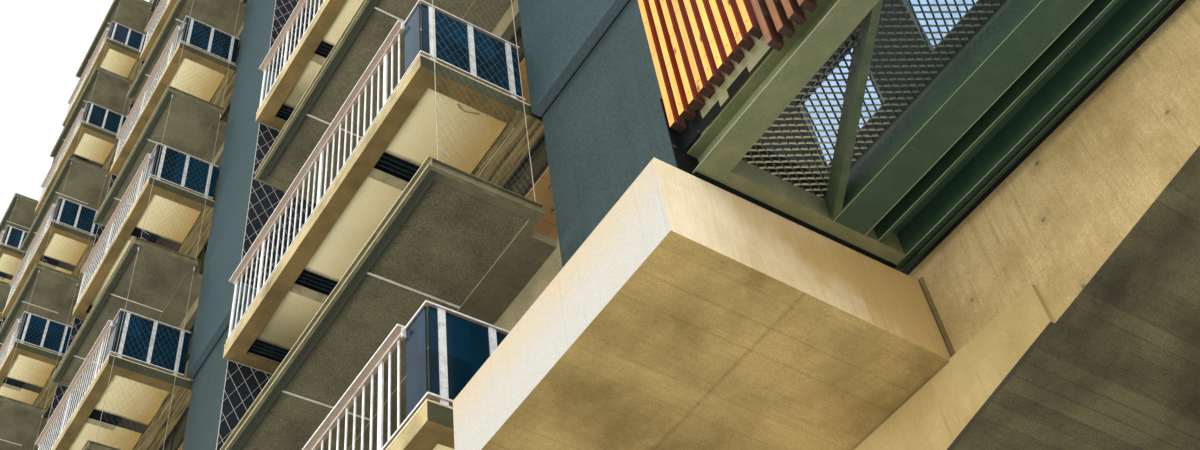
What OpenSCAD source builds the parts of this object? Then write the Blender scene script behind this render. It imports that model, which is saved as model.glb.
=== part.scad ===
// Apartment block with stacked balconies, at half its real size (1:2), in millimetres.
// +X runs along the long front towards the near end, -Y is the street side, +Z is up.

/* [Storeys] */
// Height of one storey, floor to floor
storey_h = 1350; // [1200:10:1500]
// Railed balconies in one stack, one at every second storey
pairs = 8; // [3:1:8]
// Thickness of a floor slab
floor_t = 120; // [90:5:150]
// Height of the parapet above the roof slab
parapet_h = 550; // [300:10:700]

/* [Plan] */
// Balcony stacks along the front
bays = 4; // [2:1:5]
// Distance from one stack to the next
bay_pitch = 6000; // [5200:50:6600]
// Depth of the block from front wall to rear wall
block_d = 6000; // [4500:50:7000]
// Width of the front wall pier at the near end
near_pier_w = 1075; // [700:5:1300]
// Width of the front wall pier at the far end
far_pier_w = 700; // [400:10:1200]
// Thickness of the outer walls
wall_t = 125; // [100:5:160]
// How far the upper part of each front pier stands forward
step_out = 75; // [40:5:100]

/* [Balconies] */
// Depth of a balcony from its front edge to the wall
balcony_d = 825; // [650:5:950]
// Length of the balconies in the nearest stack
near_balcony_l = 2750; // [2400:10:3000]
// Length of the balconies in the other stacks
balcony_l = 2300; // [2000:10:2600]
// Gap between the balcony's near end and the front wall pier
pier_gap = 25; // [10:1:60]
// Width of the rim round the recessed soffit
rim_w = 116; // [60:1:140]
// Distance from the wall to the end of the recess
soffit_joint = 160; // [100:5:220]
// Depth of the soffit recess
soffit_recess = 12; // [6:1:20]
// Width of a slot in the soffit, along the front
slot_w = 140; // [100:5:180]
// Length of a slot, away from the front
slot_l = 285; // [200:5:330]
// Depth of a slot
slot_depth = 70; // [40:5:80]
// Distance from the balcony's near end to the middle of the first slot
slot_first = 740; // [600:5:900]
// Distance between slots
slot_pitch = 1100; // [800:5:1200]
// Distance from the balcony's far end to the middle of the last slot
slot_last = 190; // [190:5:240]
// Thickness of a door head strip, and of the timber ceiling behind it
ceiling_t = 16; // [10:1:24]
// Width of the strip over the sliding doors
head_w = 75; // [50:5:100]
// Gap between that strip and the timber ceiling
head_gap = 35; // [20:5:60]
// Depth of the timber ceiling
ceiling_d = 900; // [600:10:1200]

/* [Shelves] */
// How far a shelf slab stands out past the balcony's front edge
shelf_out = 60; // [30:5:120]
// How far it runs past the balcony's near end
shelf_past = 170; // [100:5:220]
// Distance from the wall to the end of the part that runs past the balcony
shelf_notch = 185; // [100:5:250]
// Underside of a shelf above the floor level half way between two balconies
shelf_rise = 75; // [40:5:110]
// How far it stops short of the far end in the nearest stack
near_shelf_short = 325; // [100:5:400]
// How far it stops short of the far end in the other stacks
shelf_short = 110; // [50:5:300]
// Thickness of a shelf slab
shelf_t = 60; // [40:5:90]
// Width of the rim round its recessed soffit
shelf_rim = 50; // [35:1:70]
// Height of the steel channel round its edge
channel_h = 74; // [60:1:110]
// Width of that channel's flanges
channel_w = 22; // [15:1:30]
// Thickness of the channel's steel
channel_steel = 5; // [3:0.5:8]

/* [Railings] */
// Height of the top rail above the balcony floor
rail_h = 625; // [560:5:680]
// Height of the bottom rail above the balcony floor
rail_foot = 35; // [20:5:60]
// Width of a rail, seen from above
rail_w = 26; // [18:1:34]
// Height of a rail's section
rail_t = 12; // [8:1:18]
// Width of a flat post
post_w = 38; // [24:1:44]
// Thickness of a flat post
post_t = 10; // [6:1:14]
// Distance from the balcony's near end to the first front post
post_first = 470; // [380:5:600]
// Distance between front posts
post_pitch = 900; // [700:5:1000]
// Side of the square plate under a post
foot_w = 56; // [48:1:70]
// Width of a flat bar between the posts
bar_w = 16; // [10:1:22]
// Thickness of a flat bar
bar_t = 6; // [4:0.5:9]
// Distance between bars
bar_pitch = 90; // [70:1:110]
// Distance from the front edge to the first end post
end_post_first = 95; // [60:5:140]
// Distance between end posts
end_post_pitch = 280; // [200:5:300]
// Width of the flat handrail along the front
handrail_w = 52; // [36:1:70]
// Length of the corner that has glass and no handrail
corner_l = 210; // [180:5:240]
// Thickness of the glass
glass_t = 8; // [5:1:14]
// Radius of the vertical net wires
wire_r = 2.5; // [1.5:0.5:4]

/* [Base] */
// Underside of the transfer slab above the ground
base_clear_h = 3205; // [2900:5:3400]
// Thickness of the transfer slab
transfer_t = 880; // [800:5:1000]
// Height of the proud strip along the foot of the transfer slab's face
nib_h = 435; // [380:5:480]
// How far that strip stands out
nib_out = 20; // [10:1:40]
// How far the strip runs past the box
nib_past = 385; // [200:5:500]
// Height from the top of the transfer slab to the lowest balcony's floor
plinth_h = 680; // [600:5:900]
// How far the terrace runs past the near end of the block
terrace_l = 2900; // [2200:10:3400]
// Depth of the terrace slab at its free end
terrace_tip_t = 280; // [200:5:400]
// Distance from the front wall's face to the first column under the terrace
terrace_column_in = 700; // [300:10:1500]
// Side of a square column
column_w = 300; // [220:5:400]
// Distance from the front wall's face back to the base wall
base_setback = 1100; // [700:10:1500]
// Thickness of the ground slab
ground_t = 80; // [50:5:120]
// Height of an entrance opening
entrance_h = 1250; // [1100:10:1500]
// Width of an entrance opening
entrance_w = 1400; // [900:10:1800]

/* [Concrete box] */
// Distance from the first stack's near end to the box's far side
box_x = 740; // [600:5:900]
// Length of the box along the front
box_l = 1270; // [1000:5:1500]
// How far the box stands out from the front wall
box_d = 1145; // [900:5:1300]
// Height of the box at its outer face
box_h = 350; // [280:5:380]
// Top of the box below the top of the transfer slab
box_drop = 55; // [20:5:120]
// Thickness of the box's sides and floor
box_t = 70; // [50:5:100]

/* [Gallery] */
// Distance from the front wall to the gallery's inner edge
gallery_gap = 110; // [60:5:140]
// Width of the channel along the inner edge
inner_channel_w = 130; // [90:5:160]
// Gap between that channel and the beam beside the mesh
channel_gap = 65; // [30:5:90]
// Width of the beam beside the mesh
inner_beam_w = 145; // [100:5:180]
// Width of the mesh
mesh_w = 435; // [300:5:600]
// Width of the ledge that carries the mesh's outer edge
mesh_ledge_w = 55; // [30:1:70]
// Width of the outer channel's flanges
flange_w = 50; // [35:1:70]
// Height of the gallery's steel channels
frame_h = 110; // [80:5:140]
// Thickness of the gallery's steel
frame_steel = 8; // [5:1:12]
// Thickness of the floor plate over the inner channels
floor_plate_t = 8; // [5:1:12]
// Width of the channel across the gallery's end
end_band_w = 65; // [40:5:90]
// How far that channel rests over the box
end_seat = 35; // [20:1:60]
// Height of the packers under the gallery
packer_h = 10; // [5:1:20]
// Width of a brace, measured along the gallery
brace_w = 50; // [25:1:60]
// Distance between the ends of a brace, along the gallery
brace_pitch = 760; // [600:10:900]

/* [Batten screen] */
// Width of a timber batten, along the front
batten_w = 26; // [16:1:32]
// Depth of a batten
batten_d = 50; // [35:1:60]
// Distance between battens
batten_pitch = 53; // [45:1:70]
// Height of a batten
batten_h = 1350; // [1200:10:1500]
// Battens in the first set, at the near corner
first_set = 9; // [6:1:14]
// How far the second set hangs lower
second_drop = 140; // [60:5:170]
// Bottom of the first set above the top of the gallery's channels
batten_lift = 88; // [60:1:120]
// Gap between the battens and the outer channel
batten_clear = 10; // [6:1:20]
// Width of the steel stanchions and rails behind the battens
batten_rail_w = 40; // [30:1:55]
// Distance between the stanchions
stanchion_pitch = 480; // [350:5:600]

/* [Annexe] */
// Height of the room on the terrace, behind the screen
annexe_h = 1515; // [1450:5:1600]
// Distance from the block's end to the first window
annexe_first = 700; // [400:5:900]
// Width of a window
annexe_window_w = 390; // [300:5:450]
// Distance between windows
annexe_pitch = 650; // [550:5:800]
// Height of a window's sill above the terrace
annexe_sill = 790; // [600:5:850]
// Height of a window
annexe_window_h = 480; // [400:5:500]

/* [Windows] */
// Windows in each bay of the rear wall
bay_windows = 2; // [1:1:3]
// Width of a window
window_w = 700; // [500:10:900]
// Height of a window
window_h = 720; // [600:10:850]
// Height of a window's sill above the floor
sill_h = 400; // [300:10:480]

/* [Hidden] */

// Every length below is worked out from the sizes above.
transfer_z = base_clear_h + transfer_t;
first_floor_z = transfer_z + plinth_h;
pair_h = 2 * storey_h;
wall_y = balcony_d;
slab_y = wall_y + wall_t;
rear_y = wall_y + block_d;
near_x = pier_gap + near_pier_w;
far_x = -(bays - 1) * bay_pitch - balcony_l - far_pier_w;
terrace_x = near_x + terrace_l;
roof_z = first_floor_z + pairs * pair_h;
front_y = wall_y - box_d;
// The origin is the middle of the ground under the whole part.
mid_x = (far_x + terrace_x) / 2;
mid_y = (front_y + rear_y) / 2;
// Open joint between pieces of one kind that meet end to end, and overshoot of a cut
joint = 0.5;
past = 1;

concrete = [0.80, 0.76, 0.66];
dark_concrete = [0.45, 0.42, 0.34];
render_grey = [0.31, 0.36, 0.39];
render_dark = [0.16, 0.19, 0.21];
steel_green = [0.25, 0.31, 0.26];
rail_grey = [0.78, 0.80, 0.80];
timber = [0.86, 0.60, 0.30];
glass = [0.12, 0.18, 0.30, 0.8];
pale_glass = [0.85, 0.90, 0.95, 0.8];

function stack_l(i) = i == 0 ? near_balcony_l : balcony_l;
function stack_x(i) = -i * bay_pitch;
function stack_short(i) = i == 0 ? near_shelf_short : shelf_short;
function level_z(k) = first_floor_z + k * pair_h;
function floor_z(n) = first_floor_z + n * storey_h;
function soffit_z(x) = x <= near_x ? base_clear_h
  : base_clear_h + (transfer_t - terrace_tip_t) * (x - near_x) / terrace_l;

module place() { translate([-mid_x, -mid_y, 0]) children(); }
// A block given by its lowest and highest corners
module span(a, b) { translate(a) cube(b - a); }
// A section in Y and Z, drawn out along X
module along_x(x0, x1) { translate([x0, 0, 0]) rotate([90, 0, 90]) linear_extrude(x1 - x0) children(); }
// A section in X and Z, drawn out along Y
module along_y(y0, y1) { translate([0, y1, 0]) rotate([90, 0, 0]) linear_extrude(y1 - y0) children(); }

module ground_slab() color(concrete) place()
  span([far_x, wall_y + base_setback, 0], [near_x, rear_y, ground_t]);

// Square columns under the front of the block and under the terrace
column_y = wall_y + column_w;
module columns() color(concrete) place() {
  for (i = [0:bays]) let (x = far_x + column_w + i * (near_x - far_x - 3 * column_w) / bays)
    span([x, column_y, 0], [x + column_w, column_y + column_w, base_clear_h]);
  for (y = [wall_y + terrace_column_in, rear_y - 2 * column_w]) let (x = near_x + terrace_l / 2)
    along_y(y, y + column_w)
      polygon([[x, 0], [x + column_w, 0], [x + column_w, soffit_z(x + column_w)], [x, soffit_z(x)]]);
}

// Walls round the ground floor hall, with an entrance below each stack
base_y = wall_y + base_setback;
function entrance_x(i) = stack_x(i) - (balcony_l + entrance_w) / 2;
module base_walls() color(dark_concrete) place() {
  for (i = [0:bays]) let (x0 = i == bays ? far_x : entrance_x(i) + entrance_w + joint,
      x1 = i == 0 ? near_x : entrance_x(i - 1) - joint)
    span([x0, base_y, ground_t], [x1, base_y + wall_t, base_clear_h]);
  for (i = [0:bays - 1])
    span([entrance_x(i), base_y, ground_t + entrance_h],
      [entrance_x(i) + entrance_w, base_y + wall_t, base_clear_h]);
  span([far_x, rear_y - wall_t, ground_t], [near_x, rear_y, base_clear_h]);
  for (x = [far_x, near_x - wall_t])
    span([x, base_y + wall_t + joint, ground_t], [x + wall_t, rear_y - wall_t - joint, base_clear_h]);
}

module base_glazing() color(glass) place() for (i = [0:bays - 1])
  span([entrance_x(i) - joint, base_y + wall_t / 2, ground_t],
    [entrance_x(i) + entrance_w + joint, base_y + wall_t / 2 + glass_t, ground_t + entrance_h]);

// The transfer slab carries the block, and tapers under the terrace
module transfer_slab() color(concrete) place() along_y(wall_y, rear_y)
  polygon([[far_x, base_clear_h], [near_x, base_clear_h], [terrace_x, soffit_z(terrace_x)],
    [terrace_x, transfer_z], [far_x, transfer_z]]);

// Proud strip along the foot of the transfer slab's face
nib_x = box_x + box_l + nib_past;
nib_top = base_clear_h + nib_h;
nib_y = wall_y - nib_out;
module beam_nib() color(concrete) place() along_y(nib_y, wall_y)
  polygon([[far_x, base_clear_h], [near_x, base_clear_h], [nib_x, soffit_z(nib_x)],
    [nib_x, nib_top], [far_x, nib_top]]);

// A concrete box, open at the top, whose soffit meets the top of the strip at the wall
box_top = transfer_z - box_drop;
box_low = box_top - box_h;
module concrete_box() color(concrete) place() difference() {
  along_x(box_x, box_x + box_l)
    polygon([[front_y, box_top], [front_y, box_low], [nib_y, nib_top], [wall_y, nib_top], [wall_y, box_top]]);
  span([box_x + box_t, front_y + box_t, box_low + box_t],
    [box_x + box_l - box_t, wall_y - box_t, box_top + past]);
}

// Steel gallery beside the box: an outer channel, two inner ones and a mesh floor between
gallery_x = box_x + box_l;
gallery_z = box_top + packer_h;
gallery_top = gallery_z + frame_h;
inner_y = wall_y - gallery_gap;
beam_y = inner_y - inner_channel_w - channel_gap;
mesh_y1 = beam_y - inner_beam_w;
mesh_y0 = mesh_y1 - mesh_w;
web_y = mesh_y0 - mesh_ledge_w;
outer_y = web_y - flange_w;
gallery_x1 = terrace_x - end_band_w;
// A channel with its flanges up or down, from y0 to y1
module trough(y0, y1, up) difference() {
  translate([y0, gallery_z]) square([y1 - y0, frame_h]);
  translate([y0 + frame_steel, gallery_z + (up ? frame_steel : -past)])
    square([y1 - y0 - 2 * frame_steel, frame_h - frame_steel + past]);
}
module gallery_channels() color(steel_green) place() {
  along_x(gallery_x, terrace_x) polygon([
    [outer_y, gallery_z], [mesh_y0, gallery_z], [mesh_y0, gallery_z + frame_steel],
    [web_y, gallery_z + frame_steel], [web_y, gallery_top], [outer_y, gallery_top],
    [outer_y, gallery_top - frame_steel], [web_y - frame_steel, gallery_top - frame_steel],
    [web_y - frame_steel, gallery_z + frame_steel], [outer_y, gallery_z + frame_steel]]);
  along_x(gallery_x + end_band_w, gallery_x1) trough(mesh_y1, beam_y, true);
  along_x(gallery_x + end_band_w, gallery_x1) trough(beam_y + channel_gap, inner_y, false);
}

// Brackets on the wall, under the floor plate
brackets = 3;
bracket_h = 40;
bracket_w = 30;
module gallery_ends() color(steel_green) place() {
  span([gallery_x - end_seat, mesh_y0, gallery_z], [gallery_x + end_band_w, inner_y, gallery_z + frame_steel]);
  span([gallery_x + end_band_w - frame_steel, mesh_y0, gallery_z],
    [gallery_x + end_band_w, inner_y, gallery_top]);
  span([gallery_x1, mesh_y0, gallery_z], [terrace_x, inner_y, gallery_top]);
  for (i = [1:brackets]) let (x = gallery_x + i * (terrace_x - gallery_x) / (brackets + 1))
    span([x, inner_y, gallery_top - bracket_h], [x + bracket_w, wall_y, gallery_top]);
}

// Floor plate over the inner channels, up to the wall
module gallery_plate() color(steel_green) place()
  span([gallery_x + end_band_w, mesh_y1 + joint, gallery_top],
    [gallery_x1, wall_y - joint, gallery_top + floor_plate_t]);

// Packers on the rim of the box, under the gallery's end channel
packer_w = 60;
module gallery_packers() color(steel_green) place()
  for (y = [mesh_y0 + packer_w, (mesh_y0 + inner_y) / 2, inner_y - 2 * packer_w])
    span([gallery_x - end_seat, y, box_top], [gallery_x, y + packer_w, gallery_z]);

mesh_t = 6;
module gallery_mesh() color(steel_green) place()
  span([gallery_x + end_band_w, web_y, gallery_top - mesh_t], [gallery_x1, mesh_y1, gallery_top]);

// Deep braces under the mesh, laid zigzag
module gallery_braces() color(steel_green) place()
  for (i = [0:floor((gallery_x1 - gallery_x - end_band_w) / brace_pitch) - 1])
    let (x = gallery_x + end_band_w + i * (brace_pitch + joint), a = i % 2 == 1 ? mesh_y0 : mesh_y1,
        b = mesh_y0 + mesh_y1 - a)
      translate([0, 0, gallery_z]) linear_extrude(frame_h - mesh_t) polygon([
        [x, a], [x + brace_w, a], [x + brace_pitch, b], [x + brace_pitch - brace_w, b]]);

// Battens on a stepped line, with stanchions, an angle and a top rail behind them
batten_y = outer_y - batten_clear - batten_d;
batten_back = outer_y - batten_clear;
batten_z = gallery_top + batten_lift;
battens = floor((terrace_x - gallery_x - batten_clear - batten_w) / batten_pitch);
rail_top_z = batten_z + batten_h - second_drop - batten_rail_w;
module batten_rails() color(steel_green) place() {
  span([gallery_x + 2 * batten_rail_w, batten_back, batten_z - frame_steel], [terrace_x, web_y, batten_z]);
  span([gallery_x, batten_back, rail_top_z],
    [terrace_x, batten_back + frame_steel, rail_top_z + batten_rail_w]);
  for (x = [gallery_x + 2 * batten_rail_w : stanchion_pitch : terrace_x - batten_rail_w])
    span([x, batten_back + frame_steel, gallery_top], [x + batten_rail_w, web_y, rail_top_z + batten_rail_w]);
}
module timber_battens() color(timber) place() for (i = [0:battens - 1])
  let (x = gallery_x + batten_clear + i * batten_pitch, low = i < first_set ? 0 : second_drop)
    span([x, batten_y, batten_z - low], [x + batten_w, batten_back, batten_z - low + batten_h]);

// A low room on the terrace, behind the screen
annexe_z = transfer_z + annexe_h;
module annexe_windows(n, a) for (i = [0:n - 1])
  translate([a + i * annexe_pitch, -past, transfer_z + annexe_sill])
    cube([annexe_window_w, wall_t + 2 * past, annexe_window_h]);
annexe_n = floor((terrace_l - annexe_first - annexe_window_w - wall_t) / annexe_pitch) + 1;
annexe_end_n = floor((block_d - 2 * annexe_first) / annexe_pitch);
module annexe_walls() color(render_dark) place() {
  for (y = [wall_y, rear_y - wall_t]) difference() {
    span([near_x, y, transfer_z], [terrace_x, y + wall_t, annexe_z]);
    translate([0, y, 0]) annexe_windows(annexe_n, near_x + annexe_first);
  }
  difference() {
    span([terrace_x - wall_t, slab_y + joint, transfer_z], [terrace_x, rear_y - wall_t - joint, annexe_z]);
    translate([terrace_x, 0, 0]) rotate([0, 0, 90]) annexe_windows(annexe_end_n, wall_y + annexe_first);
  }
}
module annexe_roof() color(concrete) place()
  span([near_x, wall_y, annexe_z], [terrace_x, rear_y, annexe_z + floor_t]);
module annexe_glazing() color(pale_glass) place() {
  for (y = [slab_y, rear_y - wall_t - glass_t])
    span([near_x + wall_t, y, transfer_z], [terrace_x - wall_t - glass_gap, y + glass_t, annexe_z]);
  span([terrace_x - wall_t - glass_t, slab_y + glass_edge, transfer_z],
    [terrace_x - wall_t, rear_y - wall_t - glass_edge, annexe_z]);
}

module floor_slabs() color(concrete) place() for (n = [0:2 * pairs - 1])
  span([far_x + wall_t, slab_y, floor_z(n) - floor_t], [near_x - wall_t, rear_y - wall_t, floor_z(n)]);

// Plain rendered piers between the stacks: the upper part of each stands forward
function pier_x(i) = i == 0 ? [pier_gap, near_x]
  : i == bays ? [far_x, stack_x(i - 1) - balcony_l]
  : [stack_x(i) + pier_gap, stack_x(i - 1) - stack_l(i - 1)];
step_level = 2;
function step_z(i) = i == 0 ? level_z(step_level - 1) - floor_t : level_z(step_level);
module front_walls() color(render_grey) place() for (i = [0:bays]) let (x = pier_x(i))
  along_x(x[0], x[1]) polygon([
    [wall_y, transfer_z], [slab_y, transfer_z], [slab_y, roof_z - floor_t],
    [wall_y - step_out, roof_z - floor_t], [wall_y - step_out, step_z(i)], [wall_y, step_z(i)]]);

module plinth_walls() color(dark_concrete) place() for (i = [0:bays - 1])
  span([stack_x(i) - stack_l(i), wall_y + wall_t / 2, transfer_z],
    [stack_x(i) + pier_gap, slab_y, first_floor_z - floor_t]);

module window_holes(n, a, pitch) for (k = [0:2 * pairs - 1], i = [0:n - 1])
  translate([a + i * pitch, -past, floor_z(k) + sill_h]) cube([window_w, wall_t + 2 * past, window_h]);

window_pitch = (near_x - far_x) / (bays * bay_windows);
module rear_wall() color(render_grey) place() difference() {
  span([far_x, rear_y - wall_t, transfer_z], [near_x, rear_y, roof_z - floor_t]);
  translate([0, rear_y - wall_t, 0])
    window_holes(bays * bay_windows, far_x + (window_pitch - window_w) / 2, window_pitch);
}
module end_wall() difference() {
  span([0, slab_y, transfer_z], [wall_t, rear_y - wall_t, roof_z - floor_t]);
  translate([wall_t, 0, 0]) rotate([0, 0, 90])
    window_holes(2, wall_y + block_d / 4 - window_w / 2, block_d / 2);
}
module near_end_wall() color(render_grey) place() translate([near_x - wall_t, 0, 0]) end_wall();
module far_end_wall() color(render_grey) place() translate([far_x, 0, 0]) end_wall();

// One sheet of glass a storey, inside each wall
glass_gap = 1;
glass_edge = 60;
module rear_glazing() color(glass) place() for (n = [0:2 * pairs - 1])
  span([far_x + wall_t + glass_gap, rear_y - wall_t - glass_t, floor_z(n)],
    [near_x - wall_t - glass_gap, rear_y - wall_t, floor_z(n + 1) - floor_t]);
module end_glazing() color(glass) place()
  for (n = [0:2 * pairs - 1], x = [far_x + wall_t, near_x - wall_t - glass_t])
    span([x, slab_y + glass_edge, floor_z(n)],
      [x + glass_t, rear_y - wall_t - glass_edge, floor_z(n + 1) - floor_t]);

// Sliding glass across each opening behind a balcony, under a flat head and a timber ceiling
track_w = 40;
glazing_y = slab_y - glass_t - track_w;
module loggia_glazing() color(glass) place() for (i = [0:bays - 1], n = [0:2 * pairs - 1])
  let (sill = n % 2 == 1 ? shelf_rise + shelf_t : 0)
    span([stack_x(i) - stack_l(i), glazing_y, floor_z(n) + sill],
      [stack_x(i) + pier_gap, glazing_y + glass_t, floor_z(n + 1) - floor_t]);
module door_heads() color(dark_concrete) place() for (i = [0:bays - 1], n = [1:2 * pairs])
  span([stack_x(i) - stack_l(i), slab_y + joint, floor_z(n) - floor_t - ceiling_t],
    [stack_x(i) + pier_gap, slab_y + head_w, floor_z(n) - floor_t]);
module loggia_ceilings() color(timber) place() for (i = [0:bays - 1], n = [1:2 * pairs])
  span([stack_x(i) - stack_l(i), slab_y + head_w + head_gap, floor_z(n) - floor_t - ceiling_t],
    [stack_x(i) + pier_gap, slab_y + head_w + head_gap + ceiling_d, floor_z(n) - floor_t]);

module roof_slab() color(concrete) place()
  span([far_x, wall_y - step_out, roof_z - floor_t], [near_x, rear_y, roof_z]);
module parapet() color(render_grey) place() {
  for (y = [wall_y - step_out, rear_y - wall_t])
    span([far_x, y, roof_z], [near_x, y + wall_t, roof_z + parapet_h]);
  for (x = [far_x, near_x - wall_t])
    span([x, slab_y - step_out + joint, roof_z], [x + wall_t, rear_y - wall_t - joint, roof_z + parapet_h]);
}

// One railed balcony slab: a rim, a recessed soffit field and barred slots
function slots(l) =
  concat([for (x = [slot_first : slot_pitch : l - slot_last - 2 * slot_w]) x], [l - slot_last]);
slot_y = rim_w;
module balcony_slab(l) difference() {
  span([-l, 0, -floor_t], [0, slab_y, 0]);
  span([-l + rim_w, rim_w, -floor_t - past], [-rim_w, wall_y - soffit_joint, -floor_t + soffit_recess]);
  for (x = slots(l))
    span([-x - slot_w / 2, slot_y, -floor_t - past], [-x + slot_w / 2, slot_y + slot_l, -floor_t + slot_depth]);
}
module balcony_slabs(i) color(concrete) place() for (k = [0:pairs - 1])
  translate([stack_x(i), 0, level_z(k)]) balcony_slab(stack_l(i));
module balcony_slabs_1() balcony_slabs(0);
module balcony_slabs_2() balcony_slabs(1);
module balcony_slabs_3() balcony_slabs(2);
module balcony_slabs_4() balcony_slabs(3);

grille_t = 5;
grille_h = 30;
grille_n = 3;
module soffit_grilles() color(steel_green) place()
  for (i = [0:bays - 1], k = [0:pairs - 1], x = slots(stack_l(i)), b = [1:grille_n])
    translate([stack_x(i) - x + (b / (grille_n + 1) - 0.5) * slot_w - grille_t / 2, slot_y,
        level_z(k) - floor_t + soffit_recess])
      cube([grille_t, slot_l, grille_h]);

// One shelf slab between two railed balconies, on an upstand from the floor behind it
function shelf_z(k) = level_z(k) + storey_h + shelf_rise;
module shelf_slab(l, short) difference() {
  union() {
    span([-l + short + channel_w, -shelf_out + channel_w, 0], [0, slab_y, shelf_t]);
    span([0, -shelf_out + channel_w, 0], [shelf_past - channel_w, wall_y - shelf_notch, shelf_t]);
    span([-l, wall_y, -shelf_rise - floor_t], [pier_gap, slab_y, shelf_t]);
  }
  span([-l + short + channel_w + shelf_rim, -shelf_out + channel_w + shelf_rim, -past],
    [shelf_past - channel_w - shelf_rim, wall_y - shelf_notch - shelf_rim, soffit_recess]);
}
module shelf_slabs() color(dark_concrete) place() for (i = [0:bays - 1], k = [0:pairs - 1])
  translate([stack_x(i), 0, shelf_z(k)]) shelf_slab(stack_l(i), stack_short(i));

// Steel channel with its flanges outwards: w deep, its back at the section's origin
module channel_section(w) polygon([
  [0, 0], [-w, 0], [-w, channel_steel], [-channel_steel, channel_steel],
  [-channel_steel, channel_h - channel_steel], [-w, channel_h - channel_steel],
  [-w, channel_h], [0, channel_h]]);
module shelf_channel(l, short) {
  back_y = -shelf_out + channel_w;
  translate([0, back_y, 0]) along_x(-l + short, shelf_past) channel_section(channel_w);
  translate([-l + short + channel_w, 0, 0]) along_y(back_y + joint, wall_y) channel_section(channel_w);
  translate([shelf_past - channel_w, 0, 0]) mirror([1, 0, 0])
    along_y(back_y + joint, wall_y - shelf_notch) channel_section(channel_w);
}
module shelf_channels() color(steel_green) place() for (i = [0:bays - 1], k = [0:pairs - 1])
  translate([stack_x(i), 0, shelf_z(k)]) shelf_channel(stack_l(i), stack_short(i));

// Railing of one balcony. The front has two rails, flat posts on plates, flat bars and a wide
// handrail that starts at a bracket. The end has two rails and three posts, the middle one short.
rail_in = 4;
rail_mid = rail_in + rail_w / 2;
foot_t = 6;
handrail_t = 12;
handrail_lap = 14;
hook_w = 12;
hook_drop = 60;
end_rail_stop = wall_y - step_out - handrail_lap;
function front_posts(l) = concat([for (x = [post_first : post_pitch : l - 2 * post_w]) x], [l - foot_w / 2]);
function near_post(l, x) = len([for (p = front_posts(l)) if (abs(x - p) < (post_w + bar_w) / 2) p]) > 0;
module foot(x, y) span([x - foot_w / 2, y - foot_w / 2, 0], [x + foot_w / 2, y + foot_w / 2, foot_t]);
module railing_front(l) {
  for (z = [rail_foot, rail_h - rail_t]) span([-l, rail_in, z], [0, rail_in + rail_w, z + rail_t]);
  for (x = front_posts(l)) {
    span([-x - post_w / 2, rail_mid - post_t / 2, 0], [-x + post_w / 2, rail_mid + post_t / 2, rail_h]);
    foot(-x, rail_in + foot_w / 2);
  }
  for (x = [post_first - 2 * bar_pitch : bar_pitch : l - bar_w]) if (!near_post(l, x))
    span([-x - bar_w / 2, rail_mid - bar_t / 2, rail_foot], [-x + bar_w / 2, rail_mid + bar_t / 2, rail_h]);
  span([-l, rail_in + handrail_lap - handrail_w, rail_h],
    [-corner_l, rail_in + handrail_lap, rail_h + handrail_t]);
  span([-corner_l - hook_w, rail_in - hook_w, rail_h - hook_drop],
    [-corner_l, rail_in + rail_w / 2, rail_h]);
}
module railing_end() {
  y0 = rail_in + rail_w + joint;
  for (z = [rail_foot, rail_h - rail_t]) span([-rail_w, y0, z], [0, end_rail_stop, z + rail_t]);
  for (n = [0:2]) let (y = end_post_first + n * end_post_pitch, low = n == 1 ? rail_foot : 0) {
    span([-(rail_w + post_t) / 2, y - post_w / 2, low], [-(rail_w - post_t) / 2, y + post_w / 2, rail_h]);
    if (n != 1) foot(-foot_w / 2, y);
  }
}
module railings(i) color(rail_grey) place() for (k = [0:pairs - 1])
  translate([stack_x(i), 0, level_z(k)]) { railing_front(stack_l(i)); railing_end(); }
module railings_1() railings(0);
module railings_2() railings(1);
module railings_3() railings(2);
module railings_4() railings(3);

// Glass in the corner, between the rails: one pane in front, one along the end behind the posts
module corner_glass() color(glass) place() for (i = [0:bays - 1], k = [0:pairs - 1])
  translate([stack_x(i), 0, level_z(k)]) {
    z0 = rail_foot + rail_t;
    z1 = rail_h - rail_t;
    end_x = -(rail_w + post_t) / 2 - glass_t;
    span([-corner_l, rail_mid - glass_t / 2, z0], [end_x - glass_gap, rail_mid + glass_t / 2, z1]);
    span([end_x, rail_in + rail_w + joint, z0], [end_x + glass_t, end_rail_stop, z1]);
  }

// Net wires from shelf to shelf, outside the railed balcony
wire_in = 20;
module net_wires() color(rail_grey) place()
  for (i = [0:bays - 1], k = [0:pairs - 2], y = [wire_in, wall_y - shelf_notch - wire_in])
    translate([stack_x(i) + shelf_past - channel_w - wire_in, y, shelf_z(k) + shelf_t])
      cylinder(r = wire_r, h = pair_h - shelf_t, $fn = 6);

ground_slab();
columns();
base_walls();
base_glazing();
transfer_slab();
beam_nib();
concrete_box();
gallery_channels();
gallery_ends();
gallery_packers();
gallery_plate();
gallery_mesh();
gallery_braces();
batten_rails();
timber_battens();
annexe_walls();
annexe_roof();
annexe_glazing();
floor_slabs();
front_walls();
plinth_walls();
near_end_wall();
far_end_wall();
rear_wall();
rear_glazing();
end_glazing();
loggia_glazing();
door_heads();
loggia_ceilings();
roof_slab();
parapet();
balcony_slabs_1();
balcony_slabs_2();
balcony_slabs_3();
balcony_slabs_4();
soffit_grilles();
shelf_slabs();
shelf_channels();
railings_1();
railings_2();
railings_3();
railings_4();
corner_glass();
net_wires();
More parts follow.
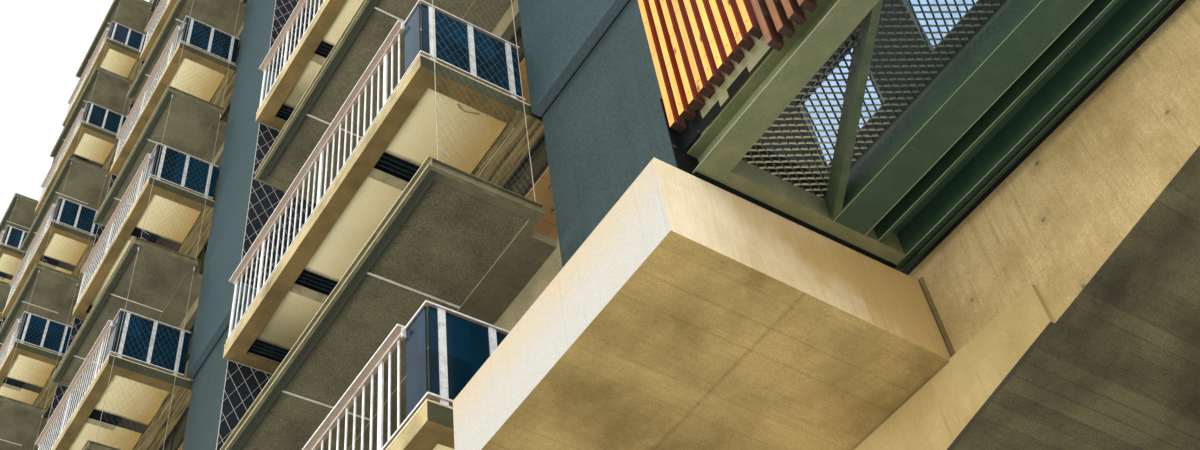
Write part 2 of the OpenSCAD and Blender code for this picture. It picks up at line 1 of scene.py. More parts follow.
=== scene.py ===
import math
from functools import partial
import bmesh
import bpy
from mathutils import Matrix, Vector


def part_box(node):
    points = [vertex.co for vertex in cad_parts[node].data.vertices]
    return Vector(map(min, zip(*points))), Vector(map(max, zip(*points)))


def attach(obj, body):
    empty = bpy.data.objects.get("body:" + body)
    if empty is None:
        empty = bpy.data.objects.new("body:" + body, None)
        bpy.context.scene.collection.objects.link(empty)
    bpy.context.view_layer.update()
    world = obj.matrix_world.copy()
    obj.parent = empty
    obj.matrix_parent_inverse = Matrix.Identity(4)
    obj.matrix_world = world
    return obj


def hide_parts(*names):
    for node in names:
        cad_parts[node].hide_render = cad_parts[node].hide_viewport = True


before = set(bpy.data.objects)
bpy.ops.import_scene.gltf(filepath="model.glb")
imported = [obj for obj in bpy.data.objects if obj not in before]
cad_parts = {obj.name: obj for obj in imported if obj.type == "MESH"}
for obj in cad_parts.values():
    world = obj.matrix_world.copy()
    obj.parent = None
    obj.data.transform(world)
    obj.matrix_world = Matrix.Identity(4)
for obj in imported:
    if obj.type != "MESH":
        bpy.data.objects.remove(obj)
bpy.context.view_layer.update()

# The view: from the street, close under the lowest balconies at the near end, looking steeply up
# with the camera turned on its side, so that the uprights of the building lean across the picture.
def put(name, data):
    """A new object in the scene."""
    thing = bpy.data.objects.new(name, data)
    bpy.context.scene.collection.objects.link(thing)
    return thing


camera_data = bpy.data.cameras.new("street_camera")
camera = put("street_camera", camera_data)
bpy.context.scene.camera = camera
camera.location = (12.423, -5.507, 0.703)
camera.rotation_euler = [math.radians(turn) for turn in (140.817, 6.484, 56.322)]
camera_data.sensor_width = 36
camera_data.lens = 40.86
camera_data.shift_y = -0.04
camera_data.clip_start, camera_data.clip_end = 0.05, 2000


# The stage: a wide pale floor, a soft key light from the street side, weaker ones from the
# near end and from behind, and an even sky. The sky and the horizon are white to the eye.
def shade(code, alpha=1.0):
    """An sRGB hex colour as the linear values that a shader takes."""
    parts = [int(code[i:i + 2], 16) / 255 for i in (0, 2, 4)]
    return [c / 12.92 if c <= 0.04045 else ((c + 0.055) / 1.055) ** 2.4 for c in parts] + [alpha]


def add_node(tree, kind, feeds=(), out="", **settings):
    """Adds one node with its settings and links, and gives its first output, a named one or, for
    None, the node. Feeds go to its inputs in order or by name, a colour may be a hex code, and the
    kind may end in the node's mode."""
    kind, _, mode = kind.partition(" ")
    node = tree.nodes.new("ShaderNode" + kind)
    if mode:
        setattr(node, "data_type" if kind == "Mix" else "operation", mode)
    for name, value in settings.items():
        setattr(node, name, value)
    if isinstance(feeds, dict):
        feeds = [(node.inputs[name], value) for name, value in feeds.items()]
    else:
        feeds = feeds if isinstance(feeds, tuple) else (feeds,)
        feeds = zip([socket for socket in node.inputs if socket.enabled], feeds)
    for socket, value in feeds:
        if isinstance(value, bpy.types.NodeSocket):
            tree.links.new(value, socket)
        else:
            socket.default_value = shade(value) if isinstance(value, str) else value
    if out is None:
        return node
    return node.outputs[out] if out else next(socket for socket in node.outputs if socket.enabled)


bpy.context.scene.view_settings.view_transform = "Standard"
sky_strength = 1.12
world = bpy.data.worlds.new("even_sky")
bpy.context.scene.world = world
world.use_nodes = True
world.node_tree.nodes.clear()
add = partial(add_node, world.node_tree)
path = add("LightPath", out=None)
mirrored = add("Math MAXIMUM", (path.outputs["Is Glossy Ray"], path.outputs["Is Transmission Ray"]))
seen = add("Math MAXIMUM", (path.outputs["Is Camera Ray"], mirrored))
light = add("Background", {"Color": "F4F6FA", "Strength": sky_strength})
white = add("Background", {"Color": "FFFFFF", "Strength": 1.0})
add("OutputWorld", {"Surface": add("MixShader", (seen, light, white))}, out=None)

for name, strength, spread, heading in (
    ("street_key", 0.70, 0.20, (0.20, 0.80, -0.62)),
    ("end_fill", 0.55, 0.60, (-0.90, 0.25, -0.35)),
    ("rear_fill", 0.40, 0.60, (0.50, -0.75, -0.45)),
):
    lamp_data = bpy.data.lights.new(name, "SUN")
    lamp_data.energy = strength
    lamp_data.angle = spread
    put(name, lamp_data).rotation_euler = Vector(heading).to_track_quat("-Z", "Y").to_euler()

# A wide soft box lies on the floor on the street side and lights the soffits
box_data = bpy.data.lights.new("floor_soft_box", "AREA")
box_data.shape = "RECTANGLE"
box_data.size, box_data.size_y = 60.0, 14.0
box_data.energy = 8000.0
soft_box = put("floor_soft_box", box_data)
soft_box.location = (0.0, -19.0, 0.4)
soft_box.rotation_euler = Vector((0.0, 0.80, 0.60)).to_track_quat("-Z", "Y").to_euler()
soft_box.visible_camera = False
soft_box.visible_glossy = False

floor_reach = 600.0
floor_mesh = bpy.data.meshes.new("floor")
floor_mesh.from_pydata([(x * floor_reach, y * floor_reach, -0.002)
                        for x, y in ((-1, -1), (1, -1), (1, 1), (-1, 1))], [], [(0, 1, 2, 3)])
floor_finish = bpy.data.materials.new("matt_floor")
floor_finish.use_nodes = True
floor_shader = floor_finish.node_tree.nodes["Principled BSDF"]
floor_shader.inputs["Base Color"].default_value = shade("F3F1EC")
floor_shader.inputs["Roughness"].default_value = 0.9
floor_mesh.materials.append(floor_finish)
put("floor", floor_mesh)


# The carrying base: a deep transfer slab on square columns, the strip along its foot and the box
# that hangs from its face. It is concrete poured on site against rough sawn boards, so it keeps
# their widths, their joints, the holes of the form ties and the stains that rain has drawn.
def solids(name):
    """The separate solids of a CAD node, each as its lowest and highest corner, sorted."""
    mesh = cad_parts[name].data
    keys = [tuple(round(c, 5) for c in vertex.co) for vertex in mesh.vertices]
    chain = {key: key for key in keys}

    def first(key):
        while chain[key] != key:
            chain[key] = chain[chain[key]]
            key = chain[key]
        return key

    for face in mesh.polygons:
        for corner in face.vertices[1:]:
            chain[first(keys[corner])] = first(keys[face.vertices[0]])
    found = {}
    for key in chain:
        found.setdefault(first(key), []).append(key)
    boxes = [(Vector(map(min, zip(*group))), Vector(map(max, zip(*group)))) for group in found.values()]
    return sorted(boxes, key=lambda box: tuple(box[0]))


def finish(name, roughness, metallic=0.0):
    """A new material: itself, the function that adds nodes to it, its shader, the place in metres,
    whole and by axis, and where the surface faces, by axis."""
    made = bpy.data.materials.new(name)
    made.use_nodes = True
    shader = made.node_tree.nodes["Principled BSDF"]
    shader.inputs["Roughness"].default_value, shader.inputs["Metallic"].default_value = roughness, metallic
    add = partial(add_node, made.node_tree)
    place = add("TexCoord", out="Object")
    axes = add("SeparateXYZ", place, out=None).outputs
    facing = add("SeparateXYZ", add("NewGeometry", out="Normal"), out=None).outputs
    return made, add, shader, place, axes, facing


def lay(add, shader, colour, tone, height, relief):
    """Lays a colour on a surface, lightened or darkened by tone, with a relief of so many metres."""
    link = shader.id_data.links.new
    link(add("HueSaturation", {"Color": colour, "Value": tone}), shader.inputs["Base Color"])
    link(add("Bump", {"Height": height, "Distance": relief, "Strength": 1.0}), shader.inputs["Normal"])


def cast_concrete(name, face, face_stain, soffit, soffit_stain, board, street=None, drift=None,
                  fibres=0.5, seam=None, tie=None, planks=0.05, grit=0.45, rim=None):
    """Board-marked concrete. Boards stood upright at the faces and lay across the building below."""
    made, add, shader, place, axes, facing = finish(name, 0.88)
    under = add("MapRange", (facing[2], -0.4, -0.8))
    # A noise takes its place, its scale, its detail and its roughness
    wander = add("TexNoise", (place, 2.2))
    row = add("Mix", (under, add("Math ADD", (axes[0], axes[1])), axes[0]))
    row = add("Math MULTIPLY", (add("Math MULTIPLY_ADD", (wander, 0.012, row)), 1 / board))
    plank = add("TexWhiteNoise", {"W": add("Math FLOOR", row)}, noise_dimensions="1D", out=None).outputs
    joint = add("MapRange", (add("Math PINGPONG", (row, 0.5)), 0.0, 0.05, 1.0, 0.0))
    # Boards that were planed to fit left joints that hardly show
    loose = add("MapRange", (add("SeparateXYZ", plank[1]), 0.4, 0.9))
    joint = add("Math MULTIPLY", (joint, loose))
    # Cement sand is under a millimetre: the speckle is drawn at 5 mm so that it shows
    grain = add("TexNoise", (place, 1 / 0.005, 3.0))
    cloud = add("TexNoise", (place, 1 / 0.45, 6.0, 0.62))
    across = add("Mapping", {"Vector": place, "Scale": (1 / 0.01, 1 / 0.2, 1 / 0.02)})
    upward = add("Mapping", {"Vector": place, "Scale": (1 / 0.012, 1 / 0.012, 1 / 0.22)})
    across = add("Mix VECTOR", (under, upward, across))
    down = add("Mapping", {"Vector": place, "Scale": (1 / 0.028, 1 / 0.028, 1 / 0.45)})
    fibre = add("TexNoise", (across, 1.0, 4.0, 0.7))
    runs = add("TexNoise", (down, 1.0, 3.0, 0.6))
    blotch = add("MapRange", (cloud, 0.42, 0.68))
    drawn = add("MapRange", (runs, 0.52, 0.75, 0.0, 0.75))
    worn = add("Math MAXIMUM", (blotch, drawn))
    if drift is not None:
        # The upright faces are drawn browner towards one depth
        inward_browning = add("MapRange", (axes[1], drift[0], drift[1], 0.0, 1.1))
        inward_browning = add("Math MULTIPLY", (inward_browning, add("MapRange", (cloud, 0.2, 0.7, 0.5, 1.1))))
        worn = add("Math MULTIPLY_ADD", (worn, 0.55, inward_browning), use_clamp=True)
    upright = add("Mix RGBA", (worn, face, face_stain))
    if street is not None:
        # The street face has its own greyer colour, and dust from the open top has browned its upper edge
        front = add("MapRange", (facing[1], -0.4, -0.8))
        dusted = add("MapRange", (axes[2], street[1] - 0.22, street[1], 0.0, 0.9))
        dusted = add("Math MULTIPLY", (dusted, cloud))
        dusted = add("Math MULTIPLY_ADD", (drawn, 0.25, dusted))
        street_face_colour = add("Mix RGBA", (dusted, street[0], face_stain))
        upright = add("Mix RGBA", (front, upright, street_face_colour))
    fouled = add("Math MULTIPLY_ADD", (blotch, 0.65, add("Math MULTIPLY", (fibre, 0.7))), use_clamp=True)
    below = add("Mix RGBA", (fouled, soffit, soffit_stain))
    if rim is not None:
        # A dark green painted shade lies along the front edge of the soffit
        front_shade = add("Math MULTIPLY_ADD", (cloud, 0.08, axes[1]))
        front_shade = add("MapRange", (front_shade, rim + 0.07, rim + 0.15, 0.85, 0.0))
        below = add("Mix RGBA", (front_shade, below, "27342A"))
    colour = add("Mix RGBA", (under, upright, below))
    tone = add("MapRange", (plank[0], 0.0, 1.0, -planks, planks))
    tone = add("Math MULTIPLY_ADD", (tone, under, 1.0))
    speckle = add("MapRange", (under, 0, 1, grit, 2.2 * grit))
    speckle = add("Math MULTIPLY", (add("Math SUBTRACT", (grain, 0.5)), speckle))
    tone = add("Math ADD", (tone, speckle))
    # The fibres of the boards show most underneath, less on the faces and least on the street face
    weight = add("MapRange", (under, 0, 1, fibres * 0.3, fibres))
    if street is not None:
        weight = add("Mix", (front, weight, fibres * 0.08))
    tone = add("Math MULTIPLY_ADD", (add("Math SUBTRACT", (fibre, 0.5)), weight, tone))
    dark = add("MapRange", (under, 0, 1, -0.07, -0.17 - 2 * planks))
    tone = add("Math MULTIPLY_ADD", (joint, dark, tone))
    if seam is not None:
        # The joint between two form panels runs along the front, at one depth
        off = add("Math ABSOLUTE", add("Math SUBTRACT", (axes[1], seam)))
        line = add("Math MULTIPLY", (add("MapRange", (off, 0.003, 0.012, 1.0, 0.0)), under))
        tone = add("Math MULTIPLY_ADD", (line, -0.2, tone))
    height = add("Math MULTIPLY_ADD", (joint, -0.9, grain))
    if tie is not None:
        # Form ties left plugged holes here and there in the upright faces, 12 mm across at half size
        spot = add("CombineXYZ", (add("Math ADD", (axes[0], axes[1])), axes[2]))
        cell = add("VectorMath MULTIPLY", (spot, (1 / tie[0], 1 / tie[1], 1)))
        chance = add("TexWhiteNoise", add("VectorMath FLOOR", cell), out=None).outputs
        shift = add("VectorMath MULTIPLY", (chance[1], (0.4, 0.5, 0)))
        cell = add("VectorMath SUBTRACT", (add("VectorMath FRACTION", cell), (0.3, 0.25, 0)))
        cell = add("VectorMath SUBTRACT", (cell, shift))
        reach = add("VectorMath LENGTH", add("VectorMath MULTIPLY", (cell, (tie[0], tie[1], 0))))
        upper = add("Math SUBTRACT", (1.0, add("Math ABSOLUTE", facing[2])))
        upper = add("Math MULTIPLY", (upper, add("Math GREATER_THAN", (chance[0], 0.4))))
        hole = add("MapRange", (reach, 0.006, 0.01, 1.0, 0.0))
        ring = add("MapRange", (reach, 0.01, 0.045, 0.35, 0.0))
        hole = add("Math MULTIPLY", (add("Math MAXIMUM", (hole, ring)), upper))
        tone = add("Math MULTIPLY_ADD", (hole, -0.55, tone))
        height = add("Math MULTIPLY_ADD", (hole, -3.0, height))
    lay(add, shader, colour, tone, height, 0.0012)
    return made


def wear(made, *names):
    """Gives CAD nodes their material."""
    for name in names:
        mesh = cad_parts[name].data
        mesh.materials.clear()
        mesh.materials.append(made)


box_low, box_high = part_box("concrete_box")
board_w = 0.056
wear(cast_concrete("board_marked_concrete", "BEA776", "98814F", "736B48", "35321F", board_w,
                   fibres=1.5, tie=(0.42, 0.26), planks=0.18, grit=0.8), "transfer_slab")
base_concrete = cast_concrete("weathered_grey_concrete", "B4AA92", "8B826C", "6F6850", "46422F", board_w,
                              fibres=0.7)
wear(base_concrete, "columns", "ground_slab")
wear(cast_concrete("smooth_boarded_concrete", "EFDFBC", "C2A368", "CCB070", "86703E", 0.11,
                   street=("B4B1A7", box_high.z), drift=(box_low.y + 0.1, box_high.y),
                   fibres=1.05, seam=box_low.y * 0.55 + box_high.y * 0.45), "concrete_box")
wear(cast_concrete("trowelled_concrete", "B29C6A", "9A844F", "56503A", "3A3628", 0.3), "beam_nib")


def piece(name, parts, made):
    """A new mesh of the object, in the frame's metres: points and faces, or a list of blocks."""
    parts = blocks(parts) if isinstance(parts, list) else parts
    mesh = bpy.data.meshes.new(name)
    mesh.from_pydata([tuple(point) for point in parts[0]], [], parts[1])
    work = bmesh.new()
    work.from_mesh(mesh)
    bmesh.ops.recalc_face_normals(work, faces=work.faces)
    work.to_mesh(mesh)
    work.free()
    mesh.materials.append(made)
    thing = put(name, mesh)
    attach(thing, "root")
    return thing


def blocks(boxes):
    """Square-cut blocks, each from its lowest to its highest corner."""
    points, faces = [], []
    for low, high in boxes:
        a = len(points)
        points += [(x, y, z) for x in (low[0], high[0]) for y in (low[1], high[1]) for z in (low[2], high[2])]
        faces += [(a, a + 1, a + 3, a + 2), (a + 4, a + 6, a + 7, a + 5), (a, a + 4, a + 5, a + 1),
                  (a + 2, a + 3, a + 7, a + 6), (a, a + 2, a + 6, a + 4), (a + 1, a + 5, a + 7, a + 3)]
    return points, faces


def bars(runs, width, depth, side=(0, 0, 1)):
    """Straight bars from point to point, so wide across and so deep along side."""
    points, faces = [], []
    for start, stop in runs:
        start, stop = Vector(start), Vector(stop)
        along = (stop - start).normalized()
        across = along.cross(Vector(side)).normalized()
        out = across.cross(along) * depth / 2
        across = across * width / 2
        a = len(points)
        for at in (start, stop):
            points += [at + across + out, at - across + out, at - across - out, at + across - out]
        faces += [(a, a + 1, a + 2, a + 3), (a + 7, a + 6, a + 5, a + 4)]
        faces += [(a + 4 + i, a + 4 + (i + 1) % 4, a + (i + 1) % 4, a + i) for i in range(4)]
    return points, faces


def turned(spots, profile, sides, axis=2):
    """Round pieces: a profile of radii and heights turned about an axis through each spot."""
    points, faces = [], []
    for spot in spots:
        for radius, height in profile:
            for k in range(sides):
                turn = 2 * math.pi * k / sides
                offset = [radius * math.cos(turn), radius * math.sin(turn)]
                offset.insert(axis, height)
                points.append(Vector(spot) + Vector(offset))
        a = len(points) - sides * len(profile)
        for ring in range(len(profile) - 1):
            for k in range(sides):
                low, high = a + ring * sides, a + (ring + 1) * sides
                faces.append((low + k, low + (k + 1) % sides, high + (k + 1) % sides, high + k))
        faces += [tuple(range(a, a + sides)), tuple(range(len(points) - sides, len(points)))]
    return points, faces


# Added pieces keep this far off the face behind them, so that no two faces fall together
hair, clear = 0.0002, 0.0005
# Mastic, gone brown, fills the joints between the box and the slab that carries it
nib_low, nib_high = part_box("beam_nib")
seal_t, seal_w, seal_h = 0.0012, 0.022, 0.010
seals = [((box_high.x + clear, box_high.y - seal_t, box_low.z),
          (box_high.x + seal_w, box_high.y - hair, box_high.z)),
         ((box_low.x, nib_low.y - seal_t, nib_high.z - seal_h), (box_high.x, nib_low.y - hair, nib_high.z))]
piece("mastic_joints", seals,
      cast_concrete("aged_mastic", "8A7646", "5A4E2C", "68623E", "44422A", 0.2))
gap_x, gap_y, gap_w, gap_t = box_high.x + 0.001, box_high.y - 0.002, 0.0025, 0.0006
gaps = [((gap_x, gap_y, box_low.z), (gap_x + gap_w, gap_y + gap_t, box_high.z))]
piece("mastic_gap", gaps,
      cast_concrete("open_joint", "26241A", "1A1912", "26241A", "1A1912", 0.2))


# The gallery beside the box: rolled steel channels and flat plates, welded, bolted down and painted
# dark green. Its floor is expanded metal, a sheet that was slit and pulled into diamonds.
def painted_steel(name, paint, dirt, roughness=0.5, wash=0.5, painted_shade=None, past=None, dim=None):
    """Brushed-on paint over steel, with dust and rust spots. The painted shade, a darker paint and dirt,
    lies on what faces away from the street or, when a depth is given, on what is past it, and past
    dim along the front."""
    made, add, shader, place, axes, facing = finish(name, roughness)
    dust = add("TexNoise", (place, 1 / 0.09, 5.0, 0.65))
    speck = add("TexNoise", (place, 1 / 0.006))
    spots = add("TexNoise", (place, 1 / 0.022, 3.0))
    covered = add("MapRange", (dust, 0.45, 0.72, 0.0, wash))
    colour = add("Mix RGBA", (covered, paint, dirt))
    # A second, darker colour is painted shade
    if painted_shade is not None:
        second = add("Mix RGBA", (covered, painted_shade[0], painted_shade[1]))
        away = add("Math GREATER_THAN", (facing[1] if past is None else axes[1], past or 0.0))
        if dim is not None:
            far = add("MapRange", (axes[0], dim - 0.15, dim + 0.15, 0.0, 0.8))
            away = add("Math MAXIMUM", (away, far))
        colour = add("Mix RGBA", (away, colour, second))
    rust = add("MapRange", (spots, 0.7, 0.76, 0.0, 0.8))
    colour = add("Mix RGBA", (rust, colour, "6B4A2C"))
    tone = add("MapRange", (speck, 0.2, 0.8, 0.82, 1.18))
    lay(add, shader, colour, tone, dust, 0.0006)
    return made


mesh_low, mesh_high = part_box("gallery_mesh")
green_paint = painted_steel("green_painted_steel", "6C6E4C", "8C8560", 0.45, 0.6)
wear(green_paint, "gallery_ends", "gallery_packers")
# The outer channel keeps the pale green; the inner ones are drawn dark green as painted shade
wear(painted_steel("lit_and_shaded_green_paint", "68704E", "88825C", 0.45, 0.6,
                   painted_shade=("2A4634", "3E5440"), past=mesh_high.y - 0.02), "gallery_channels")
wear(painted_steel("shaded_green_painted_steel", "3E4E38", "6A6C4C", 0.40, 0.6), "gallery_braces")
wear(painted_steel("dusty_green_painted_steel", "7E7952", "988E64", 0.5, 0.6), "batten_rails")
hidden_paint = painted_steel("unlit_green_painted_steel", "2C4434", "3A4E3C")
wear(hidden_paint, "gallery_plate")

# The diamonds, their strands, and how far each bond leans out of the sheet
diamond_x, diamond_y, strand_w, strand_t, lean = 0.029, 0.050, 0.0064, 0.0022, 0.0012
mesh_mid = (mesh_low.z + mesh_high.z) / 2
columns_n = int((mesh_high.x - mesh_low.x) / (diamond_x / 2))
rows_n = int((mesh_high.y - mesh_low.y) / (diamond_y / 2))


def bond(i, j):
    """A point of the sheet where two strands stay joined."""
    return Vector((mesh_low.x + i * diamond_x / 2, mesh_low.y + j * diamond_y / 2,
                   mesh_mid + (lean if i % 2 else -lean)))


strands = [(bond(i, j), bond(i + 1, j + step)) for i in range(columns_n) for j in range(rows_n + 1)
           for step in (-1, 1) if (i + j) % 2 == 0 and 0 <= j + step <= rows_n]
# The strands are pale on their street faces, a painted highlight, and dark teal on their far sides and beyond
# 10.92 m along the building, painted shade
expanded = piece("expanded_mesh", bars(strands, strand_w, strand_t, side=(-0.5, 0.0, 0.8)),
                 painted_steel("galvanised_expanded_steel", "B2AB84", "8F8864", 0.38, 0.6,
                               painted_shade=("183834", "243E38"), dim=10.92))
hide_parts("gallery_mesh")

channel_low, channel_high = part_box("gallery_channels")
seat_low, seat_high = solids("gallery_ends")[0]
bolt = [(0.0, -0.006), (0.005, -0.006), (0.006, -0.004), (0.006, -0.001), (0.009, -0.001), (0.009, 0.0)]
bolt_spots = [(seat_high.x - 0.03, y, seat_low.z) for y in (seat_low.y + 0.20, seat_high.y - 0.06)]
bolt_spots += [(x, channel_high.y - 0.05, seat_low.z) for x in (seat_high.x - 0.045, seat_high.x - 0.012)]
piece("gallery_bolts", turned(bolt_spots, bolt, 6), green_paint)

# Pale strips on the edges of the flanges are painted highlights, and a black strip of painted shade closes
# the joint over the box
line_w, line_t, line_gap, line_end = 0.003, 0.0008, 0.0001, channel_high.x - 0.07
edge_lines = [((seat_high.x, y, channel_low.z - line_t), (line_end, y + line_w, channel_low.z - line_gap))
              for y in (mesh_high.y + 0.004, mesh_high.y + 0.145, mesh_high.y + 0.202,
                        channel_high.y - 0.004)]
edge_x = seat_low.x + 0.04
edge_lines.append(((edge_x, seat_low.y + 0.002, seat_low.z - line_t),
                   (edge_x + line_w, channel_high.y - 0.002, seat_low.z - line_gap)))
piece("gallery_flange_edges", edge_lines,
      painted_steel("painted_highlight_green_edges", "8C9A74", "6E7656", 0.4))
# This near-black sheet is painted shade wherever it is used
black_shade_paint = painted_steel("black_painted_shade_sheet", "0C0F0F", "161A18", 0.8)
black_shade_paint.node_tree.nodes["Principled BSDF"].inputs["Specular IOR Level"].default_value = 0.12
pad_w, pad_in = 0.013, 0.004
pad = [((box_high.x + clear, channel_low.y + pad_in, box_high.z + clear),
        (box_high.x + pad_w, channel_high.y - pad_in, seat_low.z - hair))]
piece("seat_shade_strip", pad, black_shade_paint)
# A folded sheet closes the gap along the slab: its two folds carry painted highlights like the flanges
closer_z, closer_t, fold_t, fold_h = 4.100, 0.004, 0.002, 0.012
closer = [((seat_low.x, channel_high.y + 0.001, closer_z),
           (channel_high.x - 0.001, box_high.y - 0.006, closer_z + closer_t))]
closer += [((seat_low.x, channel_high.y + y, closer_z - fold_h),
            (channel_high.x - 0.001, channel_high.y + y + fold_t, closer_z)) for y in (0.036, 0.074)]
piece("gallery_closer", closer, hidden_paint)
folds = [((low[0] + 0.1, low[1] - hair, low[2] - 0.0012),
          (high[0] - 0.07, high[1] + 0.0004, low[2] - line_gap)) for low, high in closer[1:]]
piece("closer_folds", folds, painted_steel("painted_highlight_dark_green_folds", "6A7A58", "4C5A42", 0.4))
# A black sheet of painted shade stands on the rim of the box and closes the end of the screen
batten_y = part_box("timber_battens")[0].y
sheet_x, sheet_t, sheet_h = box_high.x - 0.007, 0.005, 0.39
closing = [((sheet_x, batten_y + 0.004, box_high.z + clear),
            (sheet_x + sheet_t, channel_high.y, box_high.z + sheet_h))]
piece("screen_end_shade_sheet", closing, black_shade_paint)


# The screen above the gallery: sawn battens of oiled hardwood, upright, screwed through an angle at
# their foot. The nine battens by the corner are paler, and the rest are browner.
def sawn_timber(name, front, front_deep, side, along, pitch, late=None, later=None):
    """Sawn, oiled timber with its grain along an axis, each piece cut from another board."""
    made, add, shader, place, axes, facing = finish(name, 0.68)
    across = 0 if along == 2 else 1
    count = add("Math MULTIPLY", (axes[across], 1 / pitch))
    board = add("TexWhiteNoise", {"W": add("Math FLOOR", count)}, noise_dimensions="1D", out=None)
    shifted = add("VectorMath ADD", (place, board.outputs["Color"]))
    stretched, cells = [add("Mapping", {"Vector": shifted, "Scale": [
        1 / (length if axis == along else width) for axis in range(3)]})
        for width, length in ((0.0045, 0.16), (0.05, 0.19))]
    grain = add("TexNoise", {"Vector": stretched, "Scale": 1.0, "Detail": 4.0, "Roughness": 0.6,
                             "Distortion": 0.4})
    ring = add("TexVoronoi", (cells, 1.0))
    knot = add("MapRange", (ring, 0.07, 0.16, 1.0, 0.0))
    # Faces turned to the light are drawn pale and the other sides darker, as painted light and shade
    lit = add("MapRange", (facing[1 if along == 2 else 2], -0.4, -0.8))
    streak = add("MapRange", (grain, 0.38, 0.66))
    pale = add("Mix RGBA", (streak, front, front_deep))
    if late is not None:
        brown = add("Mix RGBA", (streak, later[0], later[1]))
        beyond = add("Math GREATER_THAN", (axes[0], late))
        pale = add("Mix RGBA", (beyond, pale, brown))
        side = add("Mix RGBA", (beyond, side, later[2]))
    colour = add("Mix RGBA", (lit, side, pale))
    # Short lengths are butted end to end, and the cut ends have gone dark
    saw = add("Math MULTIPLY", (board.outputs["Value"], 7.0))
    saw = add("Math PINGPONG", (add("Math MULTIPLY_ADD", (axes[along], 1 / 0.43, saw)), 0.5))
    cut = add("MapRange", (saw, 0.002, 0.007, 0.75, 0.0))
    knot = add("Math MAXIMUM", (knot, cut))
    colour = add("Mix RGBA", (knot, colour, "5A2814"))
    # The undersides of upright pieces are drawn dark brown: end grain, darkened further as painted shade
    ends = add("MapRange", (facing[2], -0.4, -0.8, 0.0, 1.0 if along == 2 else 0.0))
    colour = add("Mix RGBA", (ends, colour, "3A2216"))
    tone = add("MapRange", (board.outputs["Value"], 0, 1, 0.84, 1.12))
    tone = add("Math MULTIPLY_ADD", (grain, 0.5, add("Math SUBTRACT", (tone, 0.25))))
    lay(add, shader, colour, tone, grain, 0.0012)
    return made


battens = solids("timber_battens")
first_foot = battens[0][0].z
late_battens = [box for box in battens if box[0].z < first_foot - 0.01]
batten_pitch = battens[1][0].x - battens[0][0].x
wear(sawn_timber("oiled_hardwood_battens", "FBBA58", "E08C34", "9A3614", 2, batten_pitch,
                 late_battens[0][0].x - batten_pitch / 4, ("8E5A2E", "58341C", "482414")),
     "timber_battens")

# Each batten stands in a pressed steel shoe and is held by three screws
rail_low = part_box("batten_rails")[0]
shoe_t, shoe_in, shoe_up, shoe_h, shoe_gap = 0.003, 0.012, 0.004, 0.030, 0.0003
shoes, screws = [], []
for low, high in battens:
    foot = max(low.z, first_foot - 0.005)
    y, z0, z1 = low.y + shoe_in, foot + shoe_up, foot + shoe_h
    shoes.append(((low.x - shoe_t, y, z0), (low.x - shoe_gap, high.y, z1)))
    shoes.append(((high.x + shoe_gap, y, z0), (high.x + shoe_t, high.y, z1)))
    screws += [((low.x + high.x) / 2, low.y - clear, low.z + rise) for rise in (0.05, 0.62, 1.30)]
# The shoes are drawn dark brown as painted shade at the feet of the battens
piece("batten_shoes", shoes, painted_steel("shade_dark_batten_shoes", "4A3A26", "5A4A30", 0.6))
# An angle under the feet is notched round the battens and stands on brackets. It starts at the
# third batten, and a dark sheet of painted shade behind it closes the view.
angle_y, angle_t, angle_low, angle_top = rail_low.y - 0.0013, 0.002, rail_low.z + 0.040, first_foot - 0.004
rail_foot = rail_low.z + 0.001
notch, leg_h = shoe_t + 0.001, 0.07
angles = [((high.x + notch, angle_y - angle_t, angle_top), (after[0].x - notch, angle_y, angle_top + leg_h))
          for (low, high), after in zip(battens[2:], battens[3:])]
angle_end = late_battens[0][0].x - notch
angles.append(((battens[2][0].x, angle_y - angle_t, angle_low), (angle_end, angle_y, angle_top - clear)))
angles += [((x, angle_y - angle_t, rail_foot), (x + width, angle_y, angle_low - clear))
           for x, width in ((battens[4][0].x - 0.02, 0.045), (battens[6][1].x, 0.13))]
piece("batten_angle", angles,
      painted_steel("dull_olive_painted_steel", "6C6844", "857C55", 0.5, 0.6))
backing = [((rail_low.x + 0.001, rail_low.y - 0.001, rail_foot),
            (angle_end, rail_low.y - hair, angle_top + 0.03))]
piece("batten_shade_backing", backing, black_shade_paint)
screw = [(0.0, -0.0008), (0.0028, -0.0008), (0.0034, 0.0), (0.0034, 0.0012)]
piece("batten_screws", turned(screws, screw, 8, axis=1),
      painted_steel("rusty_screws", "8A6238", "5B4030"))


# The concrete frame above: walls of blocks with a thin coat of coarse grey render, thrown and
# floated. Above each step the wall stands forward, its coat is smoother and a shade more blue.
def thrown_render(name, plain, deep, upper=None, edge_y=None, ledge=None):
    """Coarse cement render: a speckled, sandy skin with faint runs of rain."""
    made, add, shader, place, axes, facing = finish(name, 0.92)
    # Render sand is 2 mm at half size: it is drawn at 13 mm so that it shows
    sand = add("TexNoise", (place, 1 / 0.013, 3.0, 0.75))
    trowel = add("TexNoise", (place, 1 / 0.5, 4.0))
    rain = add("Mapping", {"Vector": place, "Scale": (1 / 0.06, 1 / 0.06, 1 / 1.4)})
    runs = add("TexNoise", (rain, 1.0, 3.0))
    worn = add("MapRange", (trowel, 0.35, 0.7))
    worn = add("Math MULTIPLY", (worn, add("MapRange", (runs, 0.3, 0.7))))
    colour = add("Mix RGBA", (worn, plain, deep))
    if upper is not None:
        forward = add("Math LESS_THAN", (axes[1], edge_y))
        colour = add("Mix RGBA", (forward, colour, upper))
        # The underside of the step is drawn pale as painted light from below, with a dark painted shadow line
        # at its root
        below = add("Math LESS_THAN", (facing[2], -0.5))
        root = add("Math GREATER_THAN", (axes[1], ledge[2]))
        ledge = add("Mix RGBA", (root, ledge[0], ledge[1]))
        colour = add("Mix RGBA", (below, colour, ledge))
    tone = add("MapRange", (sand, 0.25, 0.75, 0.5, 1.52))
    lay(add, shader, colour, tone, sand, 0.0016)
    return made


